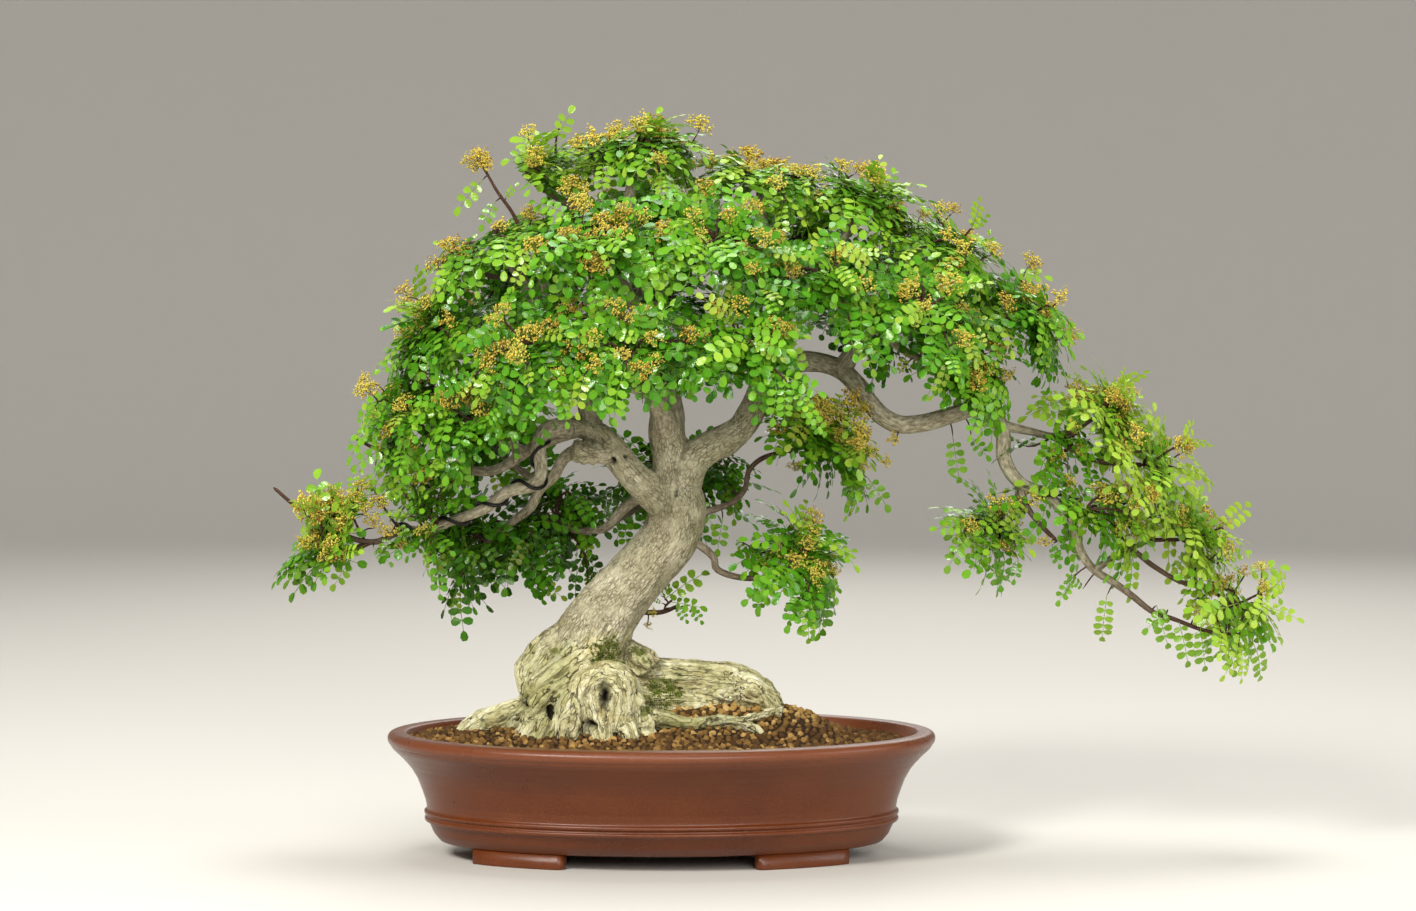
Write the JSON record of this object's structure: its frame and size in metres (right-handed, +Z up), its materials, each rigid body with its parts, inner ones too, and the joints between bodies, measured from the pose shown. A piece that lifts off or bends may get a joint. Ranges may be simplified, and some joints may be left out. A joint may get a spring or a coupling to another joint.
{
  "type": "sichuan pepper bonsai",
  "caption": "Leaning sichuan pepper bonsai with surface roots, wired side branch, long cascading limb and weeping flowering canopy, in an unglazed oval footed pot.",
  "frame": {"origin": "centre of the whole bonsai's bounding box, on the surface its feet stand on; the pot's own centre lies left of it", "axes": "+Z up, +X to the viewer's right along the pot's length and the cascading limb, +Y away from the front"},
  "size_m": [0.8022, 0.3074, 0.579],
  "materials": {
    "unglazed_clay": "satin",
    "akadama_soil": "matte",
    "drain_screen": "matte",
    "bonsai_wire": "satin",
    "bark": "matte",
    "moss": "matte",
    "leaves": "satin",
    "flowers": "matte"
  },
  "bodies": {
    "root": {"branch_cascade": "bark", "branch_crown": "bark", "branch_front": "bark", "branch_left_mid": "bark", "branch_left_rear": "bark", "branch_left_top": "bark", "branch_low_rear": "bark", "branch_right_top": "bark", "branch_shoulder": "bark", "branch_wired": "bark", "drain_clip_left": "bonsai_wire", "drain_clip_right": "bonsai_wire", "drain_mesh_left": "drain_screen", "drain_mesh_right": "drain_screen", "flower_inner_right": "flowers", "flower_top": "flowers", "flower_top_left_shoot": "flowers", "foliage_apex": "leaves", "foliage_cascade_end": "leaves", "foliage_cascade_inner": "leaves", "foliage_cascade_lower": "leaves", "foliage_cascade_middle": "leaves", "foliage_cascade_top": "leaves", "foliage_front_far_right": "leaves", "foliage_front_left": "leaves", "foliage_front_left_low": "leaves", "foliage_front_left_top": "leaves", "foliage_front_low_right": "leaves", "foliage_front_middle": "leaves", "foliage_front_right": "leaves", "foliage_front_right_top": "leaves", "foliage_inner_right": "leaves", "foliage_left": "leaves", "foliage_left_front_top": "leaves", "foliage_left_low": "leaves", "foliage_left_tip": "leaves", "foliage_low_right": "leaves", "foliage_rear_far_right": "leaves", "foliage_rear_inner": "leaves", "foliage_rear_left": "leaves", "foliage_rear_low_left": "leaves", "foliage_rear_middle": "leaves", "foliage_rear_right": "leaves", "foliage_rear_shaded": "leaves", "foliage_rear_top": "leaves", "foliage_right_end": "leaves", "foliage_right_middle": "leaves", "foliage_shoulder": "leaves", "foliage_top_far_right": "leaves", "foliage_top_left": "leaves", "foliage_top_right": "leaves", "moss_crotch": "moss", "moss_right_root": "moss", "pot": "unglazed_clay", "shoot_low_right": "bark", "shoot_trunk_low": "bark", "shoot_trunk_right": "bark", "soil": "akadama_soil", "training_wire": "bonsai_wire", "trunk": "bark"}
  },
  "joints": []
}
